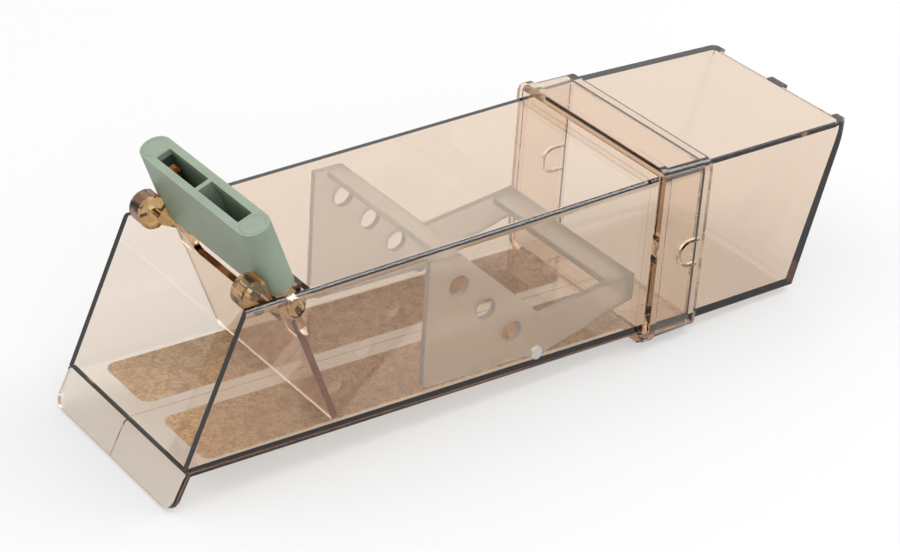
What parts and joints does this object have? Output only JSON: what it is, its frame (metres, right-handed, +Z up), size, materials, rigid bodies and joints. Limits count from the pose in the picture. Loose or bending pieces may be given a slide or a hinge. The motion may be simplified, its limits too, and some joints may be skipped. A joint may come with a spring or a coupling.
{
  "type": "live catch trap",
  "caption": "Smoked clear tunnel trap with an inward-swinging door, a finger grip to set it, a tipping treadle and a pull-off bait box with a slip-on collar.",
  "frame": {"origin": "on the ground under the middle of the trap's length and width, as it stands on its front lip and its collar pads", "axes": "+X along the trap from the entrance to the bait box, +Y to the left when looking along +X, +Z up"},
  "size_m": [0.236, 0.0708, 0.0779],
  "materials": {
    "smoked": "gloss",
    "green": "satin",
    "milky": "satin",
    "grit": "rough"
  },
  "bodies": {
    "shell": {"tunnel": "smoked", "mat_left": "grit", "mat_right": "grit"},
    "door": {"door": "smoked", "grip": "green"},
    "treadle": {"treadle": "milky"},
    "bait_box": {"bait_box": "smoked"}
  },
  "joints": [
    {"name": "door_hinge", "type": "hinge", "parent": "shell", "child": "door", "pos_m": [-0.07823, 0, 0.05137], "axis": [0, -1, 0], "range_deg": [0, 68]},
    {"name": "treadle_pivot", "type": "hinge", "parent": "shell", "child": "treadle", "pos_m": [0.0033, 0, 0.0105], "axis": [0, 1, 0], "range_deg": [0, 2.4]},
    {"name": "bait_box_slide", "type": "slide", "parent": "shell", "child": "bait_box", "axis": [0.9994, 0, -0.0352], "range_m": [0, 0.04]}
  ]
}
